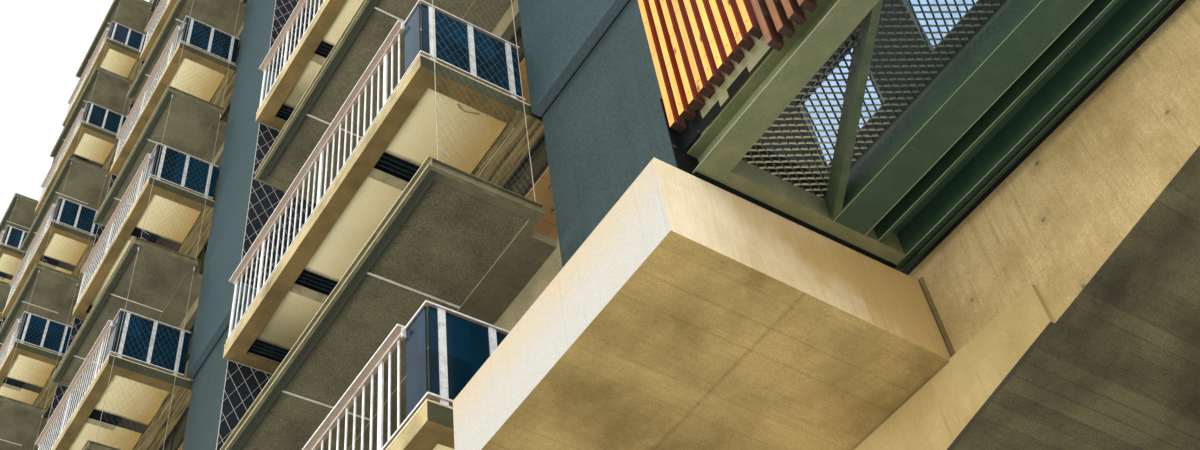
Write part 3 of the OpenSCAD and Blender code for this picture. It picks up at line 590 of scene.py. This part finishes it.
wall_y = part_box("transfer_slab")[0].y
step_y = (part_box("front_walls")[0].y + wall_y) / 2
wear(thrown_render("coarse_grey_render", "304040", "293737", "2F4346", step_y,
                   ("566669", "1C2426", wall_y - 0.012)), "front_walls")
wear(thrown_render("grey_render", "4E5C5E", "414C4E"),
     "near_end_wall", "far_end_wall", "rear_wall", "parapet")
dark_render = thrown_render("dark_grey_render", "2C3538", "20282B")
wear(dark_render, "plinth_walls", "base_walls")
wear(thrown_render("black_brown_render", "0F1413", "0A0E0E"), "annexe_walls")
wear(base_concrete, "annexe_roof", "floor_slabs")


# The roof: a cast top slab under a skin of mineral felt, torched down and turned up at the front and
# the rear. Caps folded from zinc sheet are slipped over the parapet walls.
def torched_felt(name):
    """Mineral felt with lapped joints, in rolls 0.5 m wide at half size."""
    made, add, shader, place, axes, _ = finish(name, 0.95)
    row = add("Math PINGPONG", (add("Math MULTIPLY", (axes[1], 1 / 0.5)), 1.0))
    lap = add("MapRange", (row, 0.0, 0.03, 1.0, 0.0))
    grit = add("TexNoise", (place, 1 / 0.006))
    pond = add("TexNoise", (place, 1 / 0.9, 5.0))
    colour = add("Mix RGBA", (add("MapRange", (pond, 0.4, 0.65)), "6E6F6B", "53534E"))
    tone = add("MapRange", (grit, 0.2, 0.8, 0.82, 1.18))
    tone = add("Math MULTIPLY_ADD", (lap, -0.3, tone))
    lay(add, shader, colour, tone, grit, 0.0012)
    return made


wear(base_concrete, "roof_slab")
roof_low, roof_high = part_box("roof_slab")
felt_t, felt_in, upstand_t, upstand_h = 0.003, 0.13, 0.01, 0.15
x0, y0, z0 = roof_low.x + felt_in, roof_low.y + felt_in, roof_high.z
x1, y1, z1 = roof_high.x - felt_in, roof_high.y - felt_in, roof_high.z + felt_t
felt = [((x0, y0, z0), (x1, y1, z1)), ((x0, y0, z1), (x1, y0 + upstand_t, z0 + upstand_h)),
        ((x0, y1 - upstand_t, z1), (x1, y1, z0 + upstand_h))]
piece("roof_felt", felt, torched_felt("torched_mineral_felt"))
cap_out, cap_t, cap_drop = 0.0008, 0.0008, 0.030
caps = []
for low, high in solids("parapet"):
    caps.append(((low.x - cap_out, low.y - cap_out, high.z),
                 (high.x + cap_out, high.y + cap_out, high.z + cap_t)))
    for y in (low.y - cap_out, high.y + cap_out - cap_t):
        caps.append(((low.x - cap_out, y, high.z - cap_drop), (high.x + cap_out, y + cap_t, high.z)))
folded_metal = painted_steel("folded_zinc_sheet", "8C9294", "6F7371", 0.42, 0.6)
piece("parapet_caps", caps, folded_metal)


# Windows: toughened glass in dark frames of extruded aluminium, each with a middle bar, a sash
# and a folded sill. The glass reads nearly black and mirrors the sky.
def window_glass(name, tint, deep, roughness, cell, alpha=1.0, coat=0.0, gloss=0.5, mirror="FFFFFF"):
    """Float glass, coated or plain, slightly different from pane to pane, with a film of dust."""
    made, add, shader, place, _, _ = finish(name, roughness, coat)
    pane = add("VectorMath FLOOR", add("VectorMath MULTIPLY", (place, (1 / cell,) * 3)))
    chance = add("TexWhiteNoise", pane)
    dust = add("TexNoise", (place, 1 / 0.12, 5.0))
    colour = add("Mix RGBA", (chance, tint, deep))
    tone = add("MapRange", (dust, 0.3, 0.8, 0.85, 1.3))
    lay(add, shader, colour, tone, dust, 0.0001)
    for socket, value in (("IOR", 1.52), ("Specular IOR Level", gloss),
                          ("Specular Tint", shade(mirror)), ("Alpha", alpha)):
        shader.inputs[socket].default_value = value
    return made


dark_glass = window_glass("grey_float_glass", "26343F", "141C24", 0.06, 1.35)
wear(dark_glass, "rear_glazing", "end_glazing", "base_glazing")
wear(window_glass("clear_sliding_glass", "2A3A44", "1A2630", 0.05, 1.35, alpha=0.12), "loggia_glazing")

floor_tops = sorted(high.z for low, high in solids("floor_slabs"))
windows_in_row, end_windows, window_w, window_h, window_sill = 8, 2, 0.70, 0.72, 0.40
frame_w, frame_d, frame_back = 0.028, 0.040, 0.045
sill_out, sill_past, sill_t = -0.001, 0.02, 0.004
window_bars, window_sills = [], []


def window_frame(middle, foot, width, height, plane, sense, along, frame_w=frame_w, barred=True):
    """One frame in a wall that faces along an axis: outer bars, glazing bars and the sill."""
    left, right, sash = middle - width / 2, middle + width / 2, foot + height * 0.68
    inner, outer = plane - sense * frame_back, plane - sense * (frame_back - frame_d)
    for a, b, low, high in (
        (left, left + frame_w, foot, foot + height), (right - frame_w, right, foot, foot + height),
        (left, right, foot, foot + frame_w), (left, right, foot + height - frame_w, foot + height),
        (middle - frame_w * 0.4, middle + frame_w * 0.4, foot, foot + height),
        (left, middle, sash, sash + frame_w * 0.7),
    )[:6 if barred else 4]:
        corners = [(a, min(inner, outer)), (b, max(inner, outer))]
        if along == "y":
            corners = [corner[::-1] for corner in corners]
        window_bars.append(((*corners[0], low), (*corners[1], high)))
    edge = plane + sense * sill_out
    ledge = [(left - sill_past, min(inner, edge)), (right + sill_past, max(inner, edge))]
    if along == "y":
        ledge = [corner[::-1] for corner in ledge]
    window_sills.append(((*ledge[0], foot - sill_t), (*ledge[1], foot)))


rear_low, rear_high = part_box("rear_wall")
window_step = (rear_high.x - rear_low.x) / windows_in_row
near_x, far_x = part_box("near_end_wall")[1].x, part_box("far_end_wall")[0].x
block_depth = rear_high.y - wall_y
for top in floor_tops:
    for k in range(windows_in_row):
        window_frame(rear_low.x + (k + 0.5) * window_step, top + window_sill, window_w, window_h,
                     rear_high.y, 1, "x")
    for k in range(end_windows):
        middle = wall_y + block_depth * (0.25 + 0.5 * k)
        window_frame(middle, top + window_sill, window_w, window_h, near_x, 1, "y")
        window_frame(middle, top + window_sill, window_w, window_h, far_x, -1, "y")

annexe_low, annexe_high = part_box("annexe_walls")
annexe_w, annexe_h, annexe_first, annexe_step, annexe_frame_w = 0.39, 0.48, 0.70, 0.65, 0.014
annexe_foot = annexe_low.z + 0.79
annexe_n, annexe_side_n = 3, int((block_depth - 2 * annexe_first) / annexe_step)
spots = [(near_x, k, plane, sense, "x") for k in range(annexe_n)
         for plane, sense in ((annexe_low.y, -1), (annexe_high.y, 1))]
spots += [(wall_y, k, annexe_high.x, 1, "y") for k in range(annexe_side_n)]
for start, k, plane, sense, along in spots:
    middle = start + annexe_first + k * annexe_step + annexe_w / 2
    window_frame(middle, annexe_foot, annexe_w, annexe_h, plane, sense, along, annexe_frame_w, False)
# The annexe's panes stand near the outer face of the wall
annexe_glass = window_glass("mirror_coated_glass", "B4D2F2", "96BCE2", 0.10, 0.9, coat=0.92)
pane_in, pane_t, pane_gap = 0.016, 0.004, 0.001
pane_y = annexe_low.y + pane_in
panes = []
for k in range(annexe_n):
    x = near_x + annexe_first + k * annexe_step
    panes.append(((x + pane_gap, pane_y, annexe_foot + pane_gap),
                  (x + annexe_w - pane_gap, pane_y + pane_t, annexe_foot + annexe_h - pane_gap)))
piece("annexe_front_panes", panes, annexe_glass)
wear(annexe_glass, "annexe_glazing")
dark_frame = painted_steel("anodised_aluminium_frames", "1E2528", "30373A", 0.5, 0.4)
piece("window_frames", window_bars, dark_frame)
piece("window_sills", window_sills, folded_metal)


# The loggias behind the balconies: sliding doors of glass in aluminium, hung under a flat head,
# and a ceiling of narrow boards nailed to the slab.
door_w, leaves = 0.030, 4


def leaf_bars(low, high, depth, end_gap, rails):
    """The upright and level bars of four glass doors, which lie in front of their glass."""
    front, back, left, right = low.y - depth, low.y - clear, low.x + end_gap, high.x - end_gap
    boxes = []
    for k in range(leaves + 1):
        x = low.x + k * (high.x - low.x) / leaves - door_w / 2
        x = min(max(left, x), right - door_w)
        boxes.append(((x, front, low.z), (x + door_w, back, high.z)))
    return boxes + [((left, front + 0.003, z), (right, back, z + door_w)) for z in rails]


door_bars = []
for low, high in solids("loggia_glazing"):
    door_bars += leaf_bars(low, high, 0.014, 0.0, (low.z, high.z - door_w))
piece("loggia_doors", door_bars, dark_frame)
wear(sawn_timber("oiled_ceiling_boards", "FFD084", "F0AC54", "FFC872", 0, 0.105), "loggia_ceilings")
wear(cast_concrete("olive_door_heads", "8A8258", "6E6845", "8A8258", "6E6845", 0.2), "door_heads")


# Balcony slabs, one for every second storey: concrete with a rim, a recessed soffit and a strip by
# the wall that was cast later. Barred slots drain each slab; a black tray in each slot is painted shade.
def slab_concrete(name, low, high, rim, wall_strip, slots):
    """Fair-faced concrete: a recess with painted light and shade in a dirty rim, and a stained,
    cracked strip by the wall.
    """
    made, add, shader, place, axes, facing = finish(name, 0.86)
    under = add("Math LESS_THAN", (facing[2], -0.5))
    grain = add("TexNoise", (place, 1 / 0.007))
    cloud = add("TexNoise", (place, 1 / 0.3, 6.0, 0.62))
    scuff = add("Mapping", {"Vector": place, "Scale": (1 / 0.35, 1 / 0.03, 1 / 0.03)})
    drag = add("TexNoise", (scuff, 1.0, 5.0, 0.7))
    # Distance in from the nearest side of the recess, in metres
    sides = [add("Math SUBTRACT", (axes[0], low.x + rim)), add("Math SUBTRACT", (high.x - rim, axes[0])),
             add("Math SUBTRACT", (axes[1], low.y + rim)), add("Math SUBTRACT", (wall_strip, axes[1]))]
    inside = sides[0]
    for side in sides[1:]:
        inside = add("Math MINIMUM", (inside, side))
    field = add("MapRange", (inside, -0.001, 0.001))
    dirt = add("MapRange", (cloud, 0.42, 0.7))
    rim_colour = add("Mix RGBA", (dirt, "887143", "62552F"))
    # The recess is painted palest by the front, as painted light, and browner near the wall, as painted shade
    drawn = add("Math MULTIPLY_ADD", (cloud, 0.5, -0.25))
    back = add("Math MULTIPLY_ADD", (sides[2], 1 / (wall_strip - low.y - rim), drawn))
    recess_light_shade_stains = add("Mix RGBA", (add("MapRange", (back, 0.05, 0.95)), "FFF3C2", "D2B06A"))
    # The last part at the far end is drawn brown as painted shade
    shaded = add("MapRange", (add("Math MULTIPLY_ADD", (drawn, 0.8, sides[0])), 0.75, 0.25, 0.0, 0.8))
    recess_light_shade_stains = add("Mix RGBA", (shaded, recess_light_shade_stains, "7A7048"))
    # Beside each slot the recess is darkened: drips have stained a band from the slot to the wall,
    # and its soft edge on the near-end side is painted shadow
    for near_side, far_side, end in slots:
        wide = add("Math MULTIPLY_ADD", (cloud, 0.05, axes[0]))
        over = add("MapRange", (wide, near_side + 0.02, near_side + 0.06, 1.0, 0.0))
        over = add("Math MULTIPLY", (over, add("Math GREATER_THAN", (axes[0], far_side))))
        reach = add("MapRange", (axes[1], end, wall_strip - 0.02, 0.98, 0.9))
        over = add("Math MULTIPLY", (over, reach))
        recess_light_shade_stains = add("Mix RGBA", (over, recess_light_shade_stains, "1B2226"))
    pores = add("TexVoronoi", (place, 1 / 0.16))
    pore = add("MapRange", (pores, 0.02, 0.04, 0.8, 0.0))
    recess_light_shade_stains = add("Mix RGBA", (pore, recess_light_shade_stains, "6A5A34"))
    soffit = add("Mix RGBA", (field, rim_colour, recess_light_shade_stains))
    strip = add("Math GREATER_THAN", (axes[1], wall_strip))
    smear = add("MapRange", (drag, 0.38, 0.62))
    late_colour = add("Mix RGBA", (smear, "B09C68", "665A38"))
    soffit = add("Mix RGBA", (strip, soffit, late_colour))
    # Grout has broken out of the joint here and there, which leaves short black gaps
    off = add("Math ABSOLUTE", sides[3])
    near = add("MapRange", (off, 0.004, 0.011, 1.0, 0.0))
    gap = add("Math MULTIPLY", (near, add("MapRange", (drag, 0.5, 0.56))))
    streaks = add("MapRange", (drag, 0.63, 0.66))
    gap = add("Math MAXIMUM", (gap, add("Math MULTIPLY", (streaks, strip))))
    soffit = add("Mix RGBA", (gap, soffit, "1E1A10"))
    edge = add("Mix RGBA", (dirt, "B8A676", "7A6C46"))
    # The ends that face the near end are drawn dark olive, with dirt, as painted shade
    end = add("Math GREATER_THAN", (facing[0], 0.5))
    painted_end_shade = add("Mix RGBA", (dirt, "4A4A2E", "2E3120"))
    edge = add("Mix RGBA", (end, edge, painted_end_shade))
    colour = add("Mix RGBA", (under, edge, soffit))
    tone = add("MapRange", (grain, 0.2, 0.8, 0.84, 1.16))
    lay(add, shader, colour, tone, grain, 0.0012)
    return made


slab_rim, slab_joint, slot_w = 0.116, 0.160, 0.140
grille_bars = solids("soffit_grilles")
stacks = [solids("balcony_slabs_%d" % k) for k in (1, 2, 3, 4)]
for k, slabs in enumerate(stacks, 1):
    low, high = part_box("balcony_slabs_%d" % k)
    # Three bars lie in each slot: those of the lowest slab give the slots of the whole stack
    middles = sorted({round((a.x + b.x) / 2, 4) for a, b in grille_bars
                      if low.x < a.x < high.x and a.z < slabs[0][1].z})[1::3]
    slots = [(x + slot_w / 2, x - slot_w / 2, grille_bars[0][1].y) for x in middles]
    wear(slab_concrete("fair_faced_concrete_%d" % k, low, high, slab_rim, wall_y - slab_joint, slots),
         "balcony_slabs_%d" % k)

tray_t, slot_deep, soffit_up, flap_w, flap_t = 0.002, 0.070, 0.012, 0.075, 0.003
trays, flaps = [], []
grille_bars.sort(key=lambda box: (round(box[0].z, 3), box[0].x))
for k in range(1, len(grille_bars), 3):
    low, high = grille_bars[k]
    x = (low.x + high.x) / 2
    x0, x1 = x - slot_w / 2, x + slot_w / 2
    z0, z1 = low.z, low.z - soffit_up + slot_deep
    y0, y1 = low.y, high.y
    trays += [((x0, y0, z1 - tray_t), (x1, y1, z1)), ((x0, y0, z0), (x0 + tray_t, y1, z1)),
              ((x1 - tray_t, y0, z0), (x1, y1, z1)), ((x0, y0, z0), (x1, y0 + tray_t, z1)),
              ((x0, y1 - tray_t, z0), (x1, y1, z1))]
    flaps.append(((x0 - flap_w, y0 + 0.004, z0 - flap_t), (x0 - 0.001, y1 - 0.004, z0)))
# The black trays are painted shade inside the slots
piece("slot_shade_trays", trays, painted_steel("black_painted_shade_tray", "141C22", "26323A", 0.6, 0.6))
piece("slot_flaps", flaps, painted_steel("zinc_drip_plates", "B3A883", "7E7352", 0.5, 0.7))
wear(painted_steel("black_painted_bars", "232E35", "3C4A52", 0.5, 0.6), "soffit_grilles")

# A short loop of earthing cable hangs out of each slab of the near stack
loop = [(-0.139, -0.494), (-0.159, -0.468), (-0.164, -0.430), (-0.142, -0.344)]
loops = []
for low, high in stacks[0]:
    z = low.z + soffit_up - 0.004
    bends = [(high.x + x, wall_y + y, z) for x, y in loop]
    loops += list(zip(bends, bends[1:]))
piece("earthing_loops", bars(loops, 0.005, 0.005),
      painted_steel("grey_cable_sheath", "8E8358", "4A4430", 0.6, 0.6))

# A steel edge strip caps each slab, and mortar lines mark the strip by the wall
edge_t, edge_h, line_in, grout_step = 0.0025, 0.010, 0.02, 0.052
edges, lines, seconds, grooves = [], [], [], []
for slabs in stacks:
    for low, high in slabs:
        edges.append(((low.x, low.y - edge_t, high.z - edge_h), (high.x + edge_t, low.y - hair, high.z)))
        edges.append(((high.x + hair, low.y, high.z - edge_h), (high.x + edge_t, wall_y - 0.02, high.z)))
        y, top = wall_y - slab_joint, low.z - hair
        lines.append(((low.x + line_in, y - 0.003, low.z - 0.002), (high.x - line_in, y + 0.003, top)))
        y += grout_step
        seconds.append(((low.x + line_in, y - 0.002, low.z - 0.0018), (high.x - 0.12, y + 0.002, top)))
        for y, width in ((wall_y + 0.072, 0.010), (wall_y - 0.035, 0.005)):
            grooves.append(((low.x + 0.004, y, low.z - 0.0015), (high.x - 0.004, y + width, top)))
piece("slab_edge_strips", edges, painted_steel("pale_edge_steel", "E2D6AE", "A3936A"))
piece("soffit_joint_lines", lines,
      cast_concrete("stained_mortar", "5E5838", "3A3824", "5E5838", "3A3824", 0.2))
piece("soffit_grout_lines", seconds,
      cast_concrete("lime_mortar", "EFE7CE", "D5C8A2", "E4DAB8", "A89A6C", 0.2))
piece("soffit_grooves", grooves, dark_render)


# Shelf slabs between the balconies: thin concrete cast into a frame of steel channels with the
# flanges outwards. Pale strips close the joints of their soffits.
wear(cast_concrete("weathered_shelf_concrete", "8F8563", "6C6448", "858062", "575340", 0.15,
                   fibres=0.3, grit=1.4, rim=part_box("shelf_slabs")[0].y), "shelf_slabs")
wear(painted_steel("brown_green_painted_channel", "6F6A4C", "A79A70", 0.45, 0.6), "shelf_channels")
shelf_rim, shelf_gap, shelf_up, strip_w, strip_t, bright_h = 0.050, 0.185, 0.012, 0.012, 0.006, 0.0054
strips, flange_lines = [], []
# The channels along the front are the long ones
for low, high in [box for box in solids("shelf_channels") if box[1].x - box[0].x > 1.0]:
    z = low.z + shelf_up
    for x in (high.x - 0.82, high.x - 1.87):
        if x > low.x + 0.2:
            strips.append(((x, high.y + shelf_rim, z - strip_t),
                           (x + strip_w, wall_y - shelf_gap - shelf_rim, z - 0.0003)))
    # Two pale strips along each front channel are painted highlights on its flange edges
    for z in (low.z - 0.0006, high.z - 0.0048):
        flange_lines.append(((low.x, low.y - 0.0016, z), (high.x, low.y - hair, z + bright_h)))
piece("shelf_joint_strips", strips,
      painted_steel("white_joint_strips", "E6E4D8", "B8B29A", 0.5, 0.4))
piece("shelf_flange_edges", flange_lines,
      painted_steel("painted_highlight_flange_edges", "D9CFA6", "9E9268", 0.4))


# Railings: flat steel posts, rails and bars, welded, hot-dip galvanised and bolted down through
# square plates. Tinted panes fill the corner, and a wide flat handrail runs along the front.
def hot_dip_zinc(name):
    """Galvanised steel: pale grey with faint spangle, drawn browner underneath as painted shade."""
    made, add, shader, place, _, facing = finish(name, 0.42, 0.25)
    # Zinc spangle is 5 mm across at half size: it is drawn at 9 mm so that it shows
    spangle = add("TexVoronoi", (place, 1 / 0.009), out=None)
    cloud = add("TexNoise", (place, 1 / 0.05, 4.0))
    under = add("MapRange", (facing[2], -0.4, -0.8))
    dull = add("MapRange", (cloud, 0.45, 0.75))
    colour = add("Mix RGBA", (dull, "F0F1EE", "C9C8BE"))
    # Undersides are drawn brown as painted shade
    colour = add("Mix RGBA", (under, colour, "B09C8A"))
    cell = add("SeparateXYZ", spangle.outputs["Color"])
    tone = add("MapRange", (cell, 0, 1, 0.9, 1.06))
    lay(add, shader, colour, tone, cloud, 0.0004)
    return made


wear(hot_dip_zinc("hot_dip_galvanised_steel"), "railings_1", "railings_2", "railings_3", "railings_4")
wear(painted_steel("dull_stainless_wire", "B0A88C", "7E775C", 0.45, 0.6), "net_wires")
wear(window_glass("tinted_screen_glass", "0A3248", "07202E", 0.08, 0.3, gloss=0.09, mirror="8CC8DC"),
     "corner_glass")


# The nets: stainless cable stretched from shelf to shelf outside the near ends, and below each
# balcony at the far ends, knotted into diamonds and tightened with turnbuckles.
near_diamond, far_diamond = (0.060, 0.105), (0.105, 0.185)
# The cable is 0.8 mm at half size. Below the balconies it is drawn at 2.4 mm so that it shows.
fine_cable, cable = 0.0008, 0.0024


def net(x, y0, y1, z0, z1, net_w, net_h):
    """The cables of one net, which lies across the building at x."""
    runs = []
    slope = net_h / net_w
    reach = (y1 - y0) * slope
    for sense in (1, -1):
        base = z0 - (reach if sense > 0 else 0)
        for k in range(int((z1 - z0 + reach) / net_h) + 1):
            # The cable meets y0 at height start, and rises or falls towards y1
            start = base + k * net_h
            ends = sorted((z - start) * sense / slope for z in (z0, z1))
            low_t, high_t = max(0.0, ends[0]), min(y1 - y0, ends[1])
            if high_t - low_t > net_w / 4:
                runs.append(((x, y0 + low_t, start + sense * slope * low_t),
                             (x, y0 + high_t, start + sense * slope * high_t)))
    return runs


stay_front, stay_rear, stay_drop, stay_w = 0.008, 0.072, 0.032, 0.0022
cables, fine_cables, buckles, edge_cables, stays, sheets = [], [], [], [], [], []
pairs = {}
for low, high in solids("net_wires"):
    pairs.setdefault((round(low.x, 2), round(low.z, 2)), []).append((low, high))
for pair in pairs.values():
    x = (pair[0][0].x + pair[0][1].x) / 2
    y0, y1 = min(low.y for low, high in pair), max(high.y for low, high in pair)
    z0, z1 = pair[0][0].z, pair[0][1].z
    fine_cables += net(x, y0, y1, z0 + 0.002, z1 - 0.002, *near_diamond)
    for z in (z0 + 0.09, z0 + 0.19):
        stays.append(((x, y0 + stay_front, z), (x, y0 + stay_rear, z - stay_drop)))
    for low, high in pair:
        buckles += [((low.x + high.x) / 2, (low.y + high.y) / 2, z) for z in (low.z + 0.002, high.z - 0.075)]
# Behind each of the far nets hangs a dark sheet, and a thicker cable runs round the net
net_x, net_front, net_rear, net_up, edge_cable, sheet_in = 0.010, 0.035, 0.205, 0.640, 0.004, 0.006
for slabs in stacks:
    ordered = sorted(slabs, key=lambda box: box[0].z)
    for below, above in zip(ordered, ordered[1:]):
        x = above[0].x + net_x
        y0, y1 = above[0].y + net_front, wall_y - net_rear
        z0, z1 = below[1].z + net_up, above[0].z - 0.001
        cables += net(x, y0, y1, z0, z1, *far_diamond)
        sheets.append(((x - sheet_in, y0, z0), (x - sheet_in + 0.001, y1, z1)))
        edge_cables += [((x, y, z0), (x, y, z1)) for y in (y0, y1)]
        edge_cables += [((x, y0, z), (x, y1, z)) for z in (z0 + edge_cable, z1 - edge_cable)]
stainless = painted_steel("stainless_cable", "C9CBC6", "8F8E82", 0.35)
piece("diamond_nets", bars(cables, cable, cable, side=(1, 0, 0)), stainless)
piece("end_nets", bars(fine_cables, fine_cable, fine_cable, side=(1, 0, 0)),
      painted_steel("dull_fine_cable", "6E6C58", "4A4A3C"))
piece("far_end_sheets", sheets, painted_steel("black_shade_sheet", "0D1622", "141E2A", 0.8))
piece("net_stays", bars(stays, stay_w, stay_w, side=(1, 0, 0)), stainless)
piece("net_edge_cables", bars(edge_cables, edge_cable, edge_cable, side=(1, 0, 0)), stainless)
buckle = [(0.0, 0.0), (0.003, 0.0), (0.003, 0.012), (0.0065, 0.016), (0.0065, 0.056), (0.003, 0.060),
          (0.003, 0.072), (0.0, 0.072)]
piece("turnbuckles", turned(buckles, buckle, 8), stainless)


# The entrances below the stacks, set back behind the columns: glass doors in dark aluminium, each
# pinned at its foot and its head, with a push rail across the middle.
entrance_bars = []
for low, high in solids("base_glazing"):
    entrance_bars += leaf_bars(low, high, 0.030, 0.001, (low.z, low.z + 0.95, high.z - door_w))
piece("entrance_doors", entrance_bars, dark_frame)
